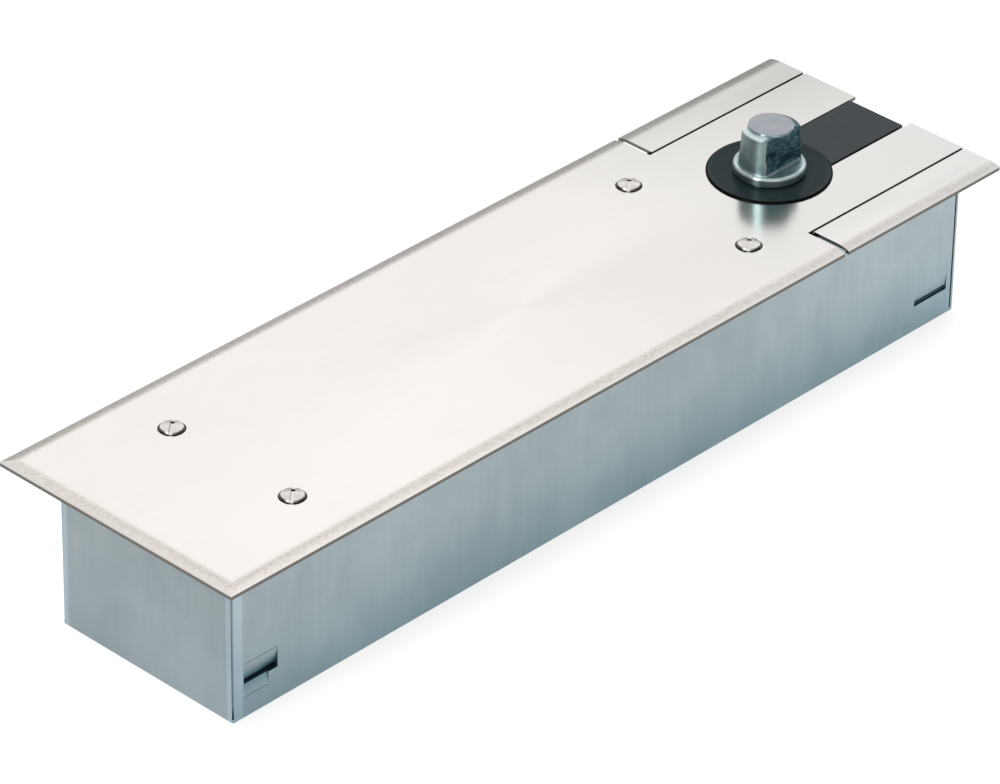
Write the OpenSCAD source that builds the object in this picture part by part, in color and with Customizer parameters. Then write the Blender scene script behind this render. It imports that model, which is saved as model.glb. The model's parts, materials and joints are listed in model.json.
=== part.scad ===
// Floor spring door closer in its floor box, with a cover plate flush with the floor.
// Origin: on the spindle axis, at the level of the cover's top face.
// +X runs along the box towards the spindle end, +Y across it, +Z up.

/* [Cover] */
// Length of the cover plate
cover_l = 358.8; // [356:0.2:362]
// Width of the cover, side strips included
cover_w = 103.6; // [102:0.2:106]
// Thickness of the cover and strip sheet
cover_t = 1.25; // [1:0.05:1.5]
// Distance from the spindle axis to the cut end of the cover
cover_x1 = 58.5; // [57:0.5:60]
// Width of the rolled-down rim
rim_w = 6; // [4:0.1:7]
// Drop of the rolled-down rim at its outer edge
rim_drop = 0.95; // [0.5:0.05:0.95]
// Width of the slot between the two tongues
slot_w = 25; // [24:0.2:27]
// Half the distance between the two strip gaps
gap_y = 35.9; // [35.7:0.05:36.1]
// Width of the gap beside a strip
gap_w = 1.0; // [0.6:0.1:1]
// Where the strip gaps begin, measured from the spindle axis
gap_x = -19.6; // [-21:0.2:-18]
// Height of the screw pattern across the cover
screw_dy = 53.8; // [53:0.2:55]
// Rear screws, measured from the spindle axis
screw_x0 = -250.1; // [-251:0.1:-249]
// Front screws, measured from the spindle axis
screw_x1 = -40.2; // [-41:0.1:-39.5]
// Direction of the screw slots
screw_turn = 39; // [0:1:180]

/* [Floor box] */
// Length of the floor box
box_l = 342; // [340:0.5:343]
// Width of the floor box
box_w = 76.8; // [76.4:0.2:78]
// Height of the floor box
box_h = 60; // [60:0.5:62]
// Sheet thickness of the floor box
box_t = 1.2; // [1:0.1:1.2]
// Rear end of the box, measured from the spindle axis
box_x0 = -287.4; // [-288:0.2:-287]
// Inward set of a lanced anchor lug
lug_in = 1.3; // [0.6:0.1:2.4]

/* [Spindle] */
// Radius of the flange under the head
flange_r = 12.35; // [12:0.05:13]
// Top of the flange above the floor
flange_top = 4.1; // [3.5:0.1:4.5]
// Radius of the head at the flange
head_r0 = 10.8; // [10:0.1:11]
// Radius of the head at its shoulder
head_r1 = 10.15; // [9.2:0.05:10.4]
// Height of the shoulder above the flange
head_sh = 12.6; // [11:0.1:12.8]
// Radius of the round end above the shoulder
head_r2 = 7.75; // [7.4:0.05:8]
// Height of the head above the flange
head_h = 14.25; // [14:0.05:16]
// Distance across the two flats of the head
head_flats = 11.2; // [10:0.1:12]
// Radius of the shaft in the cam
shaft_r = 9.5; // [9.3:0.05:9.5]
// Radius of the upper journal
journal_r = 10; // [9.9:0.05:10]
// Radius of the lower journal
foot_r = 7.5; // [7:0.1:7.5]

/* [Cam and carriage] */
// Centre distance from the spindle to the roller in the notch
cam_r0 = 20.5; // [20.2:0.1:20.6]
// Travel of the carriage over the full opening
stroke = 10; // [9:0.5:10]
// Opening angle that gives the full travel
open_angle = 130; // [120:1:130]
// Radius of the cam rollers
roller_r = 7; // [6.5:0.1:7]
// Gap left between roller and cam
cam_gap = 0.2; // [0.15:0.01:0.3]
// Thickness of the cam disc
cam_t = 10; // [9:0.5:10]
// Thickness of a carriage plate
plate_t = 3.4; // [3:0.1:3.6]
// Radius of the pull rod
rod_r = 6; // [5.5:0.1:6]

/* [Cylinder] */
// Radius of the cylinder bore
bore_r = 18; // [18:0.1:18.2]
// Radial play of the piston
piston_play = 0.05; // [0.02:0.01:0.1]
// Turns of the outer spring
outer_turns = 9; // [7:1:11]
// Turns of the inner spring
inner_turns = 13; // [9:1:14]

/* [Hidden] */
$fn = 48;

cover_x0 = cover_x1 - cover_l;
hw = cover_w / 2;
bx1 = box_x0 + box_l;
bw = box_w / 2;
bz1 = -cover_t;
bz0 = bz1 - box_h;
floor_z = bz0 + box_t;
zc = -31;                       // height of the cylinder axis and of the cam's middle
cast_z0 = -54;
cast_z1 = -12.4;
cap_z0 = -12;
cap_z1 = -7;
cam_k = stroke / (open_angle * PI / 180);   // lift per radian
cam_q = roller_r + cam_gap;
far_r = cam_r0 + cam_k * PI;    // centre distance of the opposite roller
pl_z1 = zc + cam_t / 2 + 0.6;   // inner faces of the carriage plates
pl_z0 = zc - cam_t / 2 - 0.6;
rod_pin_x = -52;
posts = [[screw_x0, screw_dy / 2], [screw_x0, -screw_dy / 2],
         [screw_x1, screw_dy / 2], [screw_x1, -screw_dy / 2]];
cap_bolts = [[43, 28], [43, -28], [44.3, 0], [-48.5, 21.5], [-48.5, -21.5], [-60, 25], [-60, -25]];
valve_x = -78;
valve_y = 10.5;
level_xy = [for (x = [-92, -206], s = [-1, 1]) [x, s * 29.5]];
stud_xy = [for (x = [-78, -220], s = [-1, 1]) [x, s * 29.5]];
ball_z = zc - 11.5;
sp_x0 = -172;                   // springs run from here to sp_x1
sp_x1 = -72;

// ---- helpers ----
module blk(x0, x1, y0, y1, z0, z1) {
    translate([x0, y0, z0]) cube([x1 - x0, y1 - y0, z1 - z0]);
}
module zc_(x, y, z0, z1, r) {
    translate([x, y, z0]) cylinder(h = z1 - z0, r = r);
}
module cone(x, y, z0, z1, r0, r1) {
    translate([x, y, z0]) cylinder(h = z1 - z0, r1 = r0, r2 = r1);
}
module xc_(x0, x1, r, y = 0, z = zc) {
    translate([x0, y, z]) rotate([0, 90, 0]) cylinder(h = x1 - x0, r = r);
}
module hexz(x, y, z0, z1, af) {
    translate([x, y, z0]) cylinder(h = z1 - z0, r = af / 2 / cos(30), $fn = 6);
}
module hexx(x0, x1, af, y = 0, z = zc) {
    translate([x0, y, z]) rotate([0, 90, 0]) cylinder(h = x1 - x0, r = af / 2 / cos(30), $fn = 6);
}
// flat shape with four rounded corners
module rr2(x0, x1, y0, y1, r) {
    translate([x0 + r, y0]) square([x1 - x0 - 2 * r, y1 - y0]);
    translate([x0, y0 + r]) square([x1 - x0, y1 - y0 - 2 * r]);
    for (x = [x0 + r, x1 - r], y = [y0 + r, y1 - r]) translate([x, y]) circle(r = r);
}
module rblk(x0, x1, y0, y1, z0, z1, r) {
    translate([0, 0, z0]) linear_extrude(z1 - z0) rr2(x0, x1, y0, y1, r);
}
// prism along X from a profile of [y, z] points
module prism_x(x0, x1, pts) {
    translate([x0, 0, 0]) rotate([90, 0, 90]) linear_extrude(x1 - x0) polygon(pts);
}
// prism along Y from a profile of [x, z] points
module prism_y(y0, y1, pts) {
    translate([0, y1, 0]) rotate([90, 0, 0]) linear_extrude(y1 - y0) polygon(pts);
}
// rim cutter: e is the outer edge, the sheet lies at smaller values and rolls off ever faster towards e
function rim(e) = concat([[e - rim_w, 0], [e - rim_w, 1], [e + 1, 1], [e + 1, -rim_drop], [e, -rim_drop]],
    [for (i = [0.5:1:11.5]) let (t = i / 12) [e - rim_w * t, -rim_drop * pow(1 - t, 2.2)]]);

// ---- floor box ----
// outline of a corner from the end wall round to the long wall, with a scored fold line on
// either side of it: [along X, in from the long wall]
corner = [[0, 2.65], [0.14, 2.5], [0, 2.35], [0, 0.5], [0.15, 0.15], [0.5, 0], [4.25, 0], [4.4, 0.14], [4.55, 0]];
function quarter(sx, sy, flip) = let (n = len(corner) - 1)
    [for (i = [0:n]) let (q = corner[flip ? n - i : i]) [sx > 0 ? bx1 - q[0] : box_x0 + q[0], sy * (bw - q[1])]];
// scored fold line on the outside of the long wall
module fold(x0, x1, z) {
    prism_x(x0, x1, [[bw + 0.1, z + 0.22], [bw - 0.14, z], [bw + 0.1, z - 0.22]]);
}
// tab: 1 with a second, lower tab; 0 without
module lug_cut(x0, x1, zt, zb, tab) {
    zm = (zt + zb) / 2;
    blk(x0, x1, bw - box_t - 0.5, bw + 0.5, zm - 1.6, zt);
    if (tab == 1) {
        fold(x0 + 0.2, x1 - 0.2, zt + 0.4);
        blk(x0, x1 - 4, bw - box_t - 0.5, bw + 0.5, zb, zm - 1);
        fold(x0 + 0.2, x1 - 4.2, zb - 0.4);
    }
}
module lug_flaps(x0, x1, zt, zb, tab) {
    zm = (zt + zb) / 2;
    d = tab == 1 ? lug_in : 0.4;
    zl = tab == 1 ? zm - 0.35 : zm + 0.2;
    prism_x(x0 - 0.1, x1 + 0.1, [[bw, zt + 0.1], [bw - box_t, zt + 0.1], [bw - box_t, zt],
        [bw - box_t - d, zl], [bw - d, zl], [bw - d * 0.35, (zt + zm) / 2], [bw, zt]]);
    // closed channel behind the slit
    prism_x(x0 - 0.5, x1 + 0.5, [[bw - box_t + 0.1, zm - 1.6], [bw - box_t + 0.1, zm - 2.6], [bw - box_t - d - 1, zm - 2.6],
        [bw - box_t - d - 1, zm + 1], [bw - box_t - d + 0.3, zm + 1], [bw - box_t - d + 0.3, zm - 0.2], [bw - box_t - d + 0.1, zm - 1.2]]);
    if (tab == 1) prism_x(x0 - 0.1, x1 - 3.9, [[bw, zb - 0.1], [bw - box_t, zb - 0.1], [bw - box_t, zb],
        [bw - box_t - 0.6, zm - 1.7], [bw - 0.6, zm - 1.7], [bw, zb]]);
}
module cement_box() {
    color([0.62, 0.68, 0.71]) union() {
        difference() {
            translate([0, 0, bz0]) linear_extrude(box_h) polygon(concat(
                quarter(1, 1, false), quarter(-1, 1, true), quarter(-1, -1, false), quarter(1, -1, true)));
            rblk(box_x0 + box_t, bx1 - box_t, -bw + box_t, bw - box_t, floor_z, 1, 4);
            // open corner seams
            for (sy = [-1, 1]) {
                translate([box_x0, sy * bw, bz0 + 1.2])
                    rotate([0, 0, -sy * 42]) translate([-3, -0.35, 0]) cube([5.6, 0.7, box_h]);
                blk(bx1 - 1.95, bx1 - 1.25, sy * (bw + 0.03) - 0.98, sy * (bw + 0.03) + 0.98, bz0 + 1.2, 1);
            }
            // recess in the end wall for the slot insert
            blk(bx1 - 3, bx1 + 1, -15.4, 15.4, bz1 - 1.75, 1);
            // holes for the strip rivets
            for (x = [2, 38], s = [-1, 1])
                translate([x, s * (bw + 1), -5.6]) rotate([s * 90, 0, 0]) cylinder(h = 4, r = 1.65);
            for (m = [0, 1]) mirror([0, m, 0]) {
                lug_cut(-282.7, -268.1, -41.9, -53.3, 1);
                lug_cut(33.7, 50.4, -44.2, -55.4, 0);
            }
        }
        for (m = [0, 1]) mirror([0, m, 0]) {
            lug_flaps(-282.7, -268.1, -41.9, -53.3, 1);
            lug_flaps(33.7, 50.4, -44.2, -55.4, 0);
        }
    }
}

// ---- cover ----
module cover_plate() {
    tongue = gap_y - gap_w / 2;
    color([0.93, 0.91, 0.89]) difference() {
        union() {
            blk(cover_x0, cover_x1, -hw, hw, -cover_t, 0);
            // the sheet keeps its thickness where it is rolled down
            blk(cover_x0, cover_x0 + 1.6, -hw, hw, -rim_drop - cover_t, -cover_t + 0.1);
            for (m = [0, 1]) mirror([0, m, 0]) blk(cover_x0, gap_x - 1, hw - 1.6, hw, -rim_drop - cover_t, -cover_t + 0.1);
        }
        for (m = [0, 1]) mirror([0, m, 0]) {
            blk(gap_x - 1, cover_x1 + 1, tongue, hw + 1, -4, 1);
            prism_x(cover_x0 - 1, gap_x, rim(hw));
        }
        prism_y(-hw - 1, hw + 1, [for (p = rim(0)) [cover_x0 - p[0], p[1]]]);
        blk(0, cover_x1 + 1, -slot_w / 2, slot_w / 2, -3, 1);
        zc_(0, 0, -3, 1, 20.6);
        for (p = posts) {
            zc_(p[0], p[1], -3, 1, 3.3);
            cone(p[0], p[1], -cover_t, 0.01, 3.3, 4.6);
        }
    }
}
module strip() {
    difference() {
        union() {
            blk(gap_x + 1, cover_x1, gap_y + gap_w / 2, hw, -cover_t, 0);
            blk(gap_x + 1, cover_x1, hw - 1.6, hw, -rim_drop - cover_t, -cover_t + 0.1);
            blk(gap_x + 8, cover_x1 - 14, gap_y + gap_w / 2, bw - box_t - 0.05, -9, -cover_t + 0.2);
            // ledges that close the gap from below, inside and outside the box
            for (r = [[gap_x + 1, bx1 - box_t - 4.3], [bx1 + 0.3, cover_x1 - 0.3]]) {
                blk(r[0], r[1], gap_y - 2.4, bw - box_t - 0.1, -2.5, -cover_t - 0.1);
                blk(r[0], r[1], gap_y - gap_w / 2 + 0.05, bw - box_t - 0.1, -2.5, -0.8);
            }
        }
        prism_x(gap_x - 1, cover_x1 + 1, rim(hw));
        for (x = [2, 38]) translate([x, bw - box_t + 2, -5.6]) rotate([90, 0, 0]) cylinder(h = 4, r = 1.65);
    }
}
module side_strip_front() { color([0.9, 0.88, 0.86]) mirror([0, 1, 0]) strip(); }
module side_strip_back() { color([0.9, 0.88, 0.86]) strip(); }
module strip_rivets() {
    color([0.7, 0.7, 0.72]) for (m = [0, 1], x = [2, 38]) mirror([0, m, 0])
        translate([x, 0, -5.6]) rotate([-90, 0, 0]) {
            translate([0, 0, gap_y + gap_w / 2 - 0.8]) cylinder(h = 0.8, r = 2.6);
            translate([0, 0, gap_y + gap_w / 2 - 0.1]) cylinder(h = bw + 0.2 - gap_y - gap_w / 2, r = 1.6);
            translate([0, 0, bw]) cylinder(h = 1, r = 2.8);
        }
}
module cover_screws() {
    color([0.8, 0.78, 0.76]) for (p = posts) translate([p[0], p[1], 0]) difference() {
        union() {
            intersection() {
                translate([0, 0, 1.2 - 18]) sphere(r = 18);
                union() {
                    translate([0, 0, -0.2]) cylinder(h = 0.4, r = 4.1);
                    translate([0, 0, 0.15]) cylinder(h = 1.2, r1 = 4.1, r2 = 3.4);
                }
            }
            translate([0, 0, -0.45]) cylinder(h = 0.4, r = 4.1);
            translate([0, 0, -2.05]) cylinder(h = 1.6, r1 = 2.45, r2 = 4.05);
            translate([0, 0, -14]) cylinder(h = 12.2, r = 2.45);
        }
        rotate([0, 0, screw_turn]) {
            translate([-6, -0.7, 0.12]) cube([12, 1.4, 4]);
            translate([2.55, -0.7, -1.1]) cube([1.15, 1.4, 3]);
        }
    }
}
module cover_posts() {
    color([0.66, 0.68, 0.7]) for (p = posts) difference() {
        union() {
            hexz(p[0], p[1], cast_z1, bz1, 10);
            zc_(p[0], p[1], cast_z1 - 9.8, cast_z1 + 1, 3);
        }
        zc_(p[0], p[1], -15, 0, 2.5);
        cone(p[0], p[1], -2.3, bz1 + 0.01, 2.5, 3.55);
    }
}
module slot_insert() {
    color([0.16, 0.17, 0.18]) difference() {
        union() {
            blk(12, 55.4, -15, 15, bz1 - 1.65, bz1 - 0.05);
            blk(12, 55.4, -11.3, 12.2, bz1 - 0.1, -0.15);
            for (s = [-1, 1]) blk(25, 38, s * 9.5 - 1.5, s * 9.5 + 1.5, cap_z1, bz1 - 1);
        }
        blk(11, 56, -12.5, -11.3, bz1 - 1.35, 0);
        zc_(0, 0, -9, 1, 20.6);
    }
}
module spindle_ring() {
    color([0.12, 0.13, 0.13]) rotate_extrude() polygon(concat(
        [[11, -2.15], [20.3, -2.15], [20.3, 0.02], [21.4, 0.02]],
        [for (t = [0:15:75]) [20.85 + 0.55 * cos(t), 0.2 + 0.5 * sin(t)]],
        [[20.75, 0.7], [20.4, 0.68], [20, 0.58], [19.5, 0.42], [18.9, 0.36], [14.4, 0.3], [13.9, 0.2], [11, 0.2]]));
}

// ---- closer body ----
module body_casting() {
    color([0.5, 0.52, 0.54]) difference() {
        union() {
            rblk(-66, 48, -32, 32, cast_z0, cast_z1, 6);
            rblk(-256, -232, -32, 32, cast_z0, cast_z1, 5);
            xc_(-240, -60, 23);
            blk(-240, -60, -20, 20, cast_z0, -45);
            rblk(-256, -66, -16, 16, -20, cap_z1, 3);
            for (x = [-198, -158, -118]) intersection() {
                xc_(x - 2, x + 2, 26);
                blk(x - 3, x + 3, -26, 26, cast_z0, -9);
            }
            for (x0 = [-100, -228]) rblk(x0, x0 + 30, -35.5, 35.5, cast_z0, -47, 4);
        }
        // cam chamber
        translate([0, 0, -50]) linear_extrude(60) {
            rr2(-32, 41, -28.2, 28.2, 10);
            rr2(-62, -25, -18, 18, 4);
        }
        // room for the cap behind the rib
        blk(-66.1, 60, -40, 40, cast_z1, 0);
        // pocket of the lower bearing
        zc_(0, 0, -52, -40, 10.52);
        // cylinder
        xc_(-236, -70, bore_r);
        xc_(-257, -236, 20.05);
        xc_(-71, -61, 8);
        xc_(-71, -61, 2, 0, -18.5);
        // holes
        for (p = cap_bolts) zc_(p[0], p[1], -24, 0, 2.02);
        for (p = posts) zc_(p[0], p[1], cast_z1 - 11, 0, 3.02);
        for (p = level_xy) zc_(p[0], p[1], -60, -40, 4.02);
        for (p = stud_xy) zc_(p[0], p[1], -60, -40, 3.4);
        // valve pockets, seats and galleries
        for (s = [-1, 1]) {
            zc_(valve_x, s * valve_y, -12.5, 0, 4);
            zc_(valve_x, s * valve_y, -20, 0, 1.25);
            xc_(-257, valve_x, 1.2, s * valve_y, -11.2);
            zc_(s > 0 ? -204 : -216, s * valve_y, -20, 0, 1.25);
            zc_(s > 0 ? -204 : -216, s * valve_y, -9.2, 0, 2.5);
            xc_(-257, -251, 2.2, s * valve_y, -11.2);
        }
    }
    // boss for the lower bearing, cast with the chamber floor
    color([0.5, 0.52, 0.54]) difference() {
        zc_(0, 0, -50.2, -42, 14);
        zc_(0, 0, -52, -40, 10.52);
    }
}
module chamber_cap() {
    color([0.56, 0.58, 0.6]) difference() {
        union() {
            rblk(-65.7, 48, -32, 32, cap_z0, cap_z1, 6);
            zc_(0, 0, -16, -2.2, 18.5);
        }
        for (p = posts) zc_(p[0], p[1], -20, 0, 7);
        for (p = cap_bolts) zc_(p[0], p[1], -20, 0, 2.2);
        zc_(0, 0, -17, -3, 14.02);
        zc_(0, 0, -17, 0, 10.8);
        zc_(26, -21.5, -20, 0, 4.02);
    }
}
module cap_gasket() {
    color([0.2, 0.24, 0.22]) difference() {
        translate([0, 0, cast_z1]) linear_extrude(cap_z0 - cast_z1) difference() {
            rr2(-65.7, 48, -32, 32, 6);
            rr2(-32, 41, -28.2, 28.2, 10);
            rr2(-62, -25, -18, 18, 4);
        }
        for (p = posts) zc_(p[0], p[1], -20, 0, 7);
        for (p = cap_bolts) zc_(p[0], p[1], -20, 0, 2.2);
    }
}
module cap_screws() {
    color([0.35, 0.36, 0.38]) for (p = cap_bolts) difference() {
        union() {
            zc_(p[0], p[1], cap_z1, cap_z1 + 3.6, 3.5);
            zc_(p[0], p[1], -22, cap_z1 + 1, 2);
        }
        hexz(p[0], p[1], cap_z1 + 1.5, 0, 3);
    }
}
module filler_plug() {
    color([0.72, 0.6, 0.3]) difference() {
        union() {
            zc_(26, -21.5, cap_z1, cap_z1 + 2.4, 5.8);
            zc_(26, -21.5, cap_z0 + 0.2, cap_z1 + 1, 4);
        }
        hexz(26, -21.5, cap_z1 - 1, 0, 5);
    }
}
// needle bearing: a drawn shell and its needles
module needle_bearing(z0, z1, ri, ro, n) {
    nr = (ro - 1.2 - ri - 0.08) / 2;
    difference() {
        zc_(0, 0, z0, z1, ro);
        zc_(0, 0, z0 + 0.8, z1 - 0.8, ro - 1.2);
        zc_(0, 0, z0 - 1, z1 + 1, ri + 0.35);
    }
    for (i = [0:n - 1]) rotate([0, 0, 360 / n * i])
        zc_(ri + nr + 0.04, 0, z0 + 1, z1 - 1, nr);
}
module upper_bearing() { color([0.75, 0.76, 0.78]) needle_bearing(-16, -7, journal_r + 0.05, 14, 18); }
module lower_bearing() { color([0.75, 0.76, 0.78]) needle_bearing(-50.9, -42, foot_r + 0.05, 10.5, 18); }
module shaft_seal() {
    color([0.25, 0.13, 0.1]) rotate_extrude() polygon([[journal_r + 0.08, -5.2], [journal_r + 0.9, -6.9],
        [14, -6.9], [14, -3.05], [11.4, -3.05], [11.1, -4.2], [journal_r + 0.5, -4.6]]);
}
module thrust_washer() {
    color([0.72, 0.6, 0.3]) difference() {
        zc_(0, 0, -17.2, -16.05, 15);
        zc_(0, 0, -18, -15, journal_r + 0.3);
    }
}
module thrust_pad() { color([0.72, 0.6, 0.3]) zc_(0, 0, -52, -51.2, 10.2); }

// ---- spindle and cam ----
module spindle() {
    z0 = flange_top;
    color([0.75, 0.82, 0.83]) difference() {
        union() {
            zc_(0, 0, -51.15, -41.9, foot_r);
            zc_(0, 0, -41.9, -16, shaft_r);
            zc_(0, 0, -16.5, -2.2, journal_r);
            zc_(0, 0, -2.4, 1.35, 10.5);
            rotate_extrude() polygon([[0, 0.4], [flange_r - 0.75, 0.4], [flange_r - 0.75, 0.95], [flange_r - 0.35, 1], [flange_r, 1.3], [flange_r, z0 - 0.85],
                [flange_r - 0.12, z0 - 0.5], [flange_r - 0.4, z0 - 0.22], [flange_r - 0.85, z0 - 0.05], [flange_r - 1.3, z0], [0, z0]]);
            // cone with two flats, milled with a step half way up
            difference() {
                rotate_extrude() polygon([[0, z0 - 0.2], [head_r0 + 0.3, z0 - 0.2], [head_r0 + 0.3, z0], [head_r0, z0 + 0.3],
                    [head_r1, z0 + head_sh], [head_r1 - 0.3, z0 + head_sh + 0.25], [0, z0 + head_sh + 0.25]]);
                for (m = [0, 1]) mirror([0, m, 0]) {
                    prism_x(-13, 13, [[head_flats / 2 + 0.1, z0 + 5.2], [14, z0 + 5.2], [14, z0 + 20], [head_flats / 2, z0 + 20]]);
                    prism_x(-13, 13, [[head_flats / 2 + 1.1, z0], [14, z0], [14, z0 + 5.2], [head_flats / 2 + 0.55, z0 + 5.2],
                        [head_flats / 2 + 0.65, z0 + 0.9], [head_flats / 2 + 0.8, z0 + 0.35]]);
                }
            }
            // shoulder, cut by the same flats, and the round end above it
            intersection() {
                rotate_extrude() polygon([[0, z0 + head_sh], [head_r1 - 0.32, z0 + head_sh], [head_r1 - 0.32, z0 + head_sh + 0.25],
                    [head_r2 + 0.45, z0 + head_sh + 0.6], [head_r2, z0 + head_sh + 0.95], [0, z0 + head_sh + 1]]);
                blk(-13, 13, -head_flats / 2 - 0.05, head_flats / 2 + 0.05, z0, z0 + 20);
            }
            rotate_extrude() polygon(concat([[0, z0 + head_sh + 0.4], [head_r2 - 0.35, z0 + head_sh + 0.4], [head_r2, z0 + head_sh + 0.75]],
                [for (t = [0:22.5:90]) [head_r2 - 0.35 + 0.35 * cos(t), z0 + head_h - 0.35 + 0.35 * sin(t)]],
                [[0, z0 + head_h]]));
        }
        // keyway
        blk(-12, -7.5, -2.5, 2.5, -35.4, -26.6);
        // circlip groove
        difference() {
            zc_(0, 0, -18.45, -17.2, 14);
            zc_(0, 0, -19, -17, 8.6);
        }
    }
}
module spindle_circlip() {
    color([0.3, 0.31, 0.33]) difference() {
        zc_(0, 0, -18.4, -17.25, 11.8);
        zc_(0, 0, -19, -17, 8.65);
        blk(0, 14, -2.2, 2.2, -19, -17);
    }
}
function pitch(a) = cam_r0 + cam_k * a * PI / 180;
function plen(a) = sqrt(pow(pitch(a), 2) + pow(cam_k, 2));
function cam_pt(a) = [
    pitch(a) * cos(a) - cam_q * (cam_k * sin(a) + pitch(a) * cos(a)) / plen(a),
    pitch(a) * sin(a) - cam_q * (pitch(a) * sin(a) - cam_k * cos(a)) / plen(a)];
function tip(a) = 180 - atan(cam_q * cam_k / (pitch(a) * (plen(a) - cam_q)));
a_tip = tip(tip(tip(175)));
notch_a = atan(cam_k / cam_r0);
cam_up = concat([for (i = [1:3]) let (t = notch_a * i / 4) [cam_r0 - cam_q * cos(t), cam_q * sin(t)]],
    [for (i = [0:71]) cam_pt(a_tip * i / 72)]);
cam_tip = cam_pt(a_tip);
cam_n = len(cam_up);
module cam_disc() {
    color([0.6, 0.6, 0.62]) difference() {
        translate([0, 0, zc - cam_t / 2]) linear_extrude(cam_t) polygon(concat(
            [[cam_r0 - cam_q, 0]], cam_up, [[cam_tip[0], 0]],
            [for (i = [1:cam_n]) [cam_up[cam_n - i][0], -cam_up[cam_n - i][1]]]));
        zc_(0, 0, -60, 0, shaft_r + 0.02);
        blk(-11.55, -5, -2.52, 2.52, -60, 0);
    }
}
module cam_key() { color([0.45, 0.46, 0.48]) blk(-11.5, -7.55, -2.48, 2.48, -35.3, -26.7); }

// ---- carriage ----
module plate2() {
    difference() {
        union() {
            rr2(-60, 29.5, -14.5, 14.5, 9);
            rr2(-60, -30, -14.5, 14.5, 3);
        }
        translate([-stroke, -10]) square([stroke, 20]);
        translate([-stroke, 0]) circle(r = 10);
        circle(r = 10);
        for (x = [cam_r0, -far_r, rod_pin_x]) translate([x, 0]) circle(r = 3);
    }
}
module carriage_plate_upper() { color([0.55, 0.57, 0.6]) translate([0, 0, pl_z1]) linear_extrude(plate_t) plate2(); }
module carriage_plate_lower() { color([0.55, 0.57, 0.6]) translate([0, 0, pl_z0 - plate_t]) linear_extrude(plate_t) plate2(); }
module roller_pins() {
    color([0.7, 0.71, 0.73]) for (x = [cam_r0, -far_r]) zc_(x, 0, pl_z0 - plate_t, pl_z1 + plate_t, 2.98);
}
module rod_pin() { color([0.7, 0.71, 0.73]) zc_(rod_pin_x, 0, pl_z0 - plate_t, pl_z1 + plate_t, 2.98); }
module roller(x) {
    difference() {
        rotate_extrude() polygon([[3.04, -cam_t / 2 - 0.2], [roller_r - 0.4, -cam_t / 2 - 0.2], [roller_r, -cam_t / 2 + 0.2],
            [roller_r, cam_t / 2 - 0.2], [roller_r - 0.4, cam_t / 2 + 0.2], [3.04, cam_t / 2 + 0.2]]);
        for (a = [0:120:240]) rotate([0, 0, a]) translate([5, 0, cam_t / 2 - 0.1]) cylinder(h = 1, r = 0.5);
    }
}
module opening_roller() { color([0.78, 0.79, 0.8]) translate([cam_r0, 0, zc]) roller(); }
module return_roller() { color([0.78, 0.79, 0.8]) translate([-far_r, 0, zc]) roller(); }
module pull_rod() {
    color([0.7, 0.71, 0.73]) difference() {
        union() {
            xc_(-172, -60.3, rod_r);
            xc_(-211, -170, 5);
            rblk(-61, -44.4, -7, 7, zc - cam_t / 2 - 0.3, zc + cam_t / 2 + 0.3, 2);
        }
        zc_(rod_pin_x, 0, -60, 0, 3.0);
    }
}
module rod_guide_bush() {
    color([0.75, 0.6, 0.32]) difference() {
        xc_(-70, -62, 7.96);
        xc_(-71, -61, rod_r + 0.05);
    }
}

// ---- springs ----
// round wire wound on a helix along X: the first and last turn lie close, the rest are open
function coil_x(u, n, e, p) = u < 1 ? e * u : (u > n - 1 ? e + p * (n - 2) + e * (u - n + 1) : e + p * (u - 1));
module coil(x0, x1, mr, wr, n, m, k) {
    e = 2.12 * wr;
    p = (x1 - x0 - 2 * wr - 2 * e) / (n - 2);
    pts = [for (i = [0:n * m], j = [0:k - 1]) let (t = 360 * i / m, b = 360 * j / k)
        [x0 + wr + coil_x(i / m, n, e, p) + wr * sin(b), (mr + wr * cos(b)) * cos(t), zc + (mr + wr * cos(b)) * sin(t)]];
    polyhedron(pts, concat(
        [for (i = [0:n * m - 1], j = [0:k - 1]) let (q = (j + 1) % k) [i * k + j, i * k + q, (i + 1) * k + q, (i + 1) * k + j]],
        [[for (j = [0:k - 1]) k - 1 - j]], [[for (j = [0:k - 1]) n * m * k + j]]), convexity = 10);
}
module spring_outer() { color([0.35, 0.37, 0.4]) coil(sp_x0 + 0.1, sp_x1 - 0.1, 14, 2.2, outer_turns, 18, 8); }
module spring_inner() { color([0.4, 0.42, 0.45]) coil(sp_x0 + 0.1, sp_x1 - 0.1, 9, 1.3, inner_turns, 14, 6); }
module spring_seat() {
    color([0.6, 0.61, 0.63]) difference() {
        xc_(sp_x1, -70, 17);
        xc_(-75, -60, rod_r + 0.6);
        xc_(-75, -60, 2.4, 0, -18.5);
    }
}

// ---- piston ----
module piston() {
    color([0.66, 0.67, 0.68]) difference() {
        xc_(-202, -172, bore_r - piston_play);
        xc_(-203, -171, 5.02);
        difference() { xc_(-190, -186.8, 20); xc_(-191, -186, 16); }
        for (x = [-197, -180]) difference() { xc_(x - 0.5, x + 0.5, 20); xc_(x - 1, x + 1, 17.3); }
        xc_(-203, -171, 1.5, 0, ball_z);
        xc_(-203, -190, 3, 0, ball_z);
    }
}
module piston_ring() {
    color([0.9, 0.88, 0.8]) difference() {
        xc_(-189.9, -186.9, bore_r - 0.02);
        xc_(-192, -185, 16.02);
    }
}
module piston_nut() {
    color([0.6, 0.61, 0.63]) difference() { hexx(-209, -202, 16); xc_(-210, -201, 5.02); }
}
module check_valve_ball() { color([0.8, 0.8, 0.82]) translate([-192.15, 0, ball_z]) sphere(r = 2.5); }
module check_valve_retainer() {
    color([0.72, 0.6, 0.3]) difference() {
        xc_(-198.4, -196.8, 2.98, 0, ball_z);
        xc_(-200, -190, 1.1, 0, ball_z);
        blk(-197.6, -196, -0.5, 0.5, ball_z - 4, ball_z + 4);
    }
}
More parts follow.
